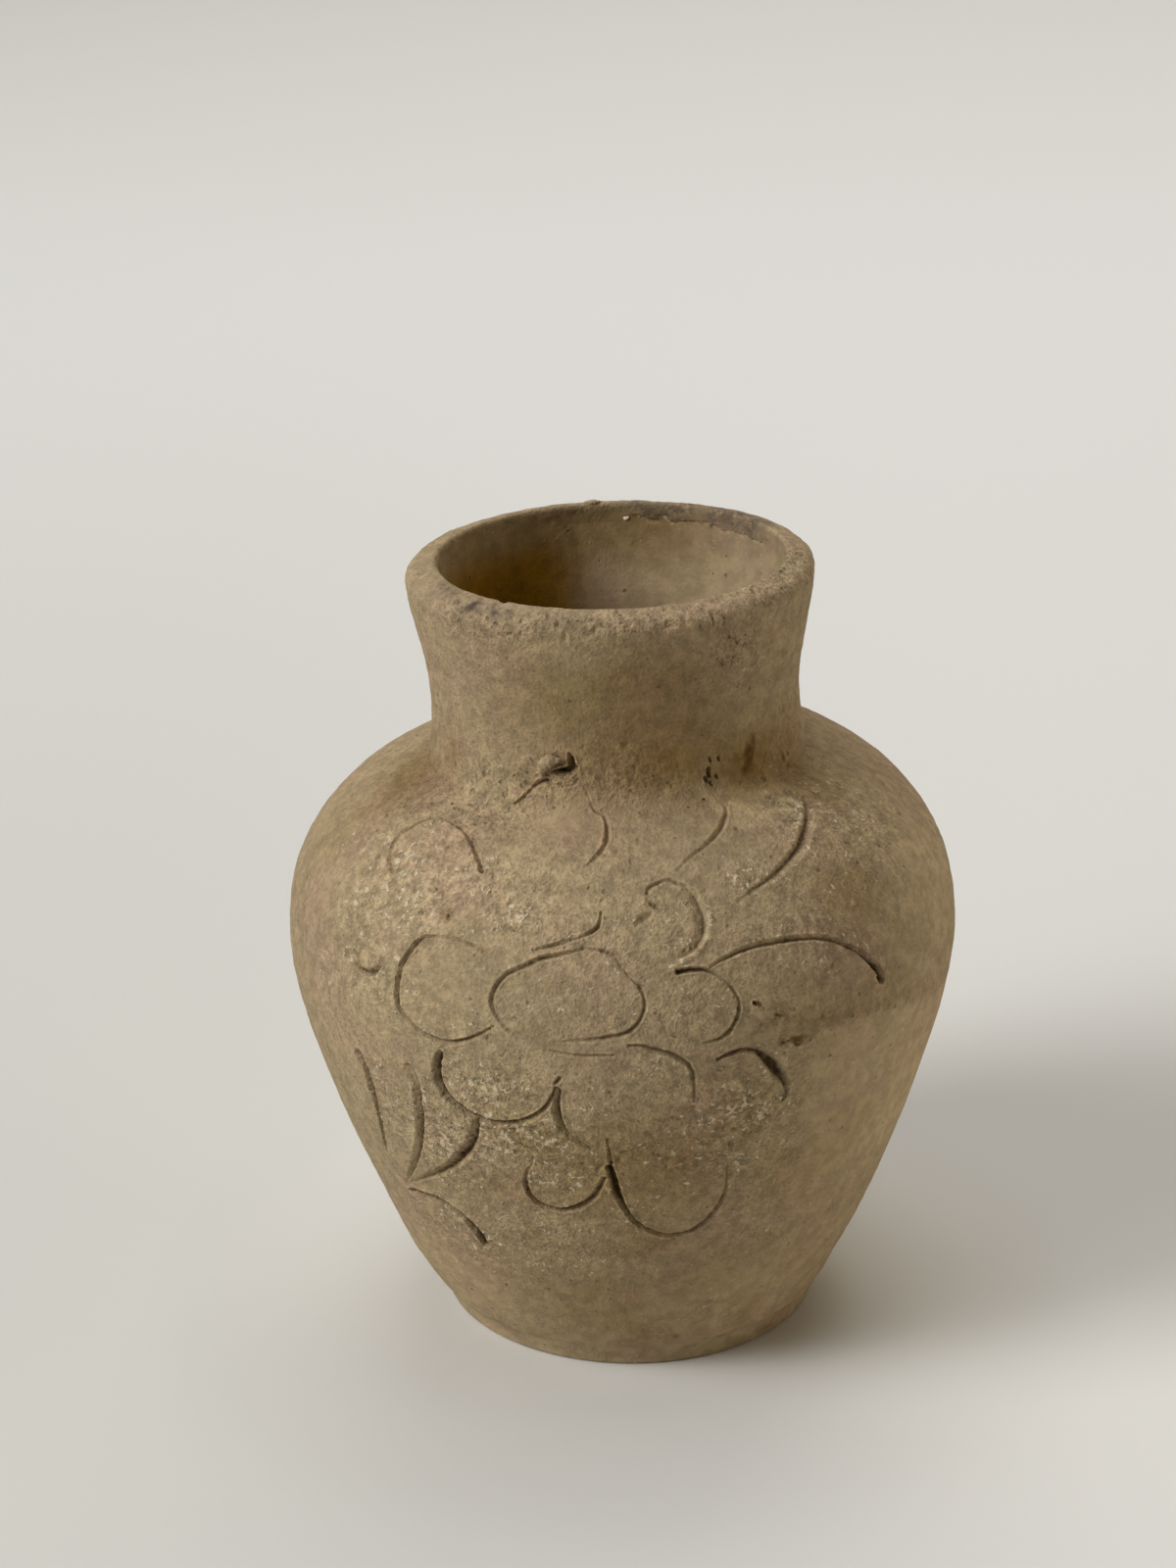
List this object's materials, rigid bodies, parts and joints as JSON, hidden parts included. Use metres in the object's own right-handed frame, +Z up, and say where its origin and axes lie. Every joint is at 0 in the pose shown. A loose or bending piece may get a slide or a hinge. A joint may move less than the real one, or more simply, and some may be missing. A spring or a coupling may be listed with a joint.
{
  "type": "decorative pot",
  "caption": "Small unglazed round-bellied clay jar with a short flared neck, an open mouth and a flat base.",
  "frame": {"origin": "on the table under the middle of the jar's outline, at the underside of the base", "axes": "+Z up through the mouth, -Y towards the side with the incised flower, +X to the right of that side"},
  "size_m": [0.097, 0.097, 0.1158],
  "materials": {
    "fired_clay": "matt, unglazed, sandy"
  },
  "bodies": {
    "root": {"base_disc": "fired_clay", "lower_wall": "fired_clay", "shoulder_wall": "fired_clay", "neck_collar": "fired_clay", "lip_coil": "fired_clay"}
  },
  "joints": []
}
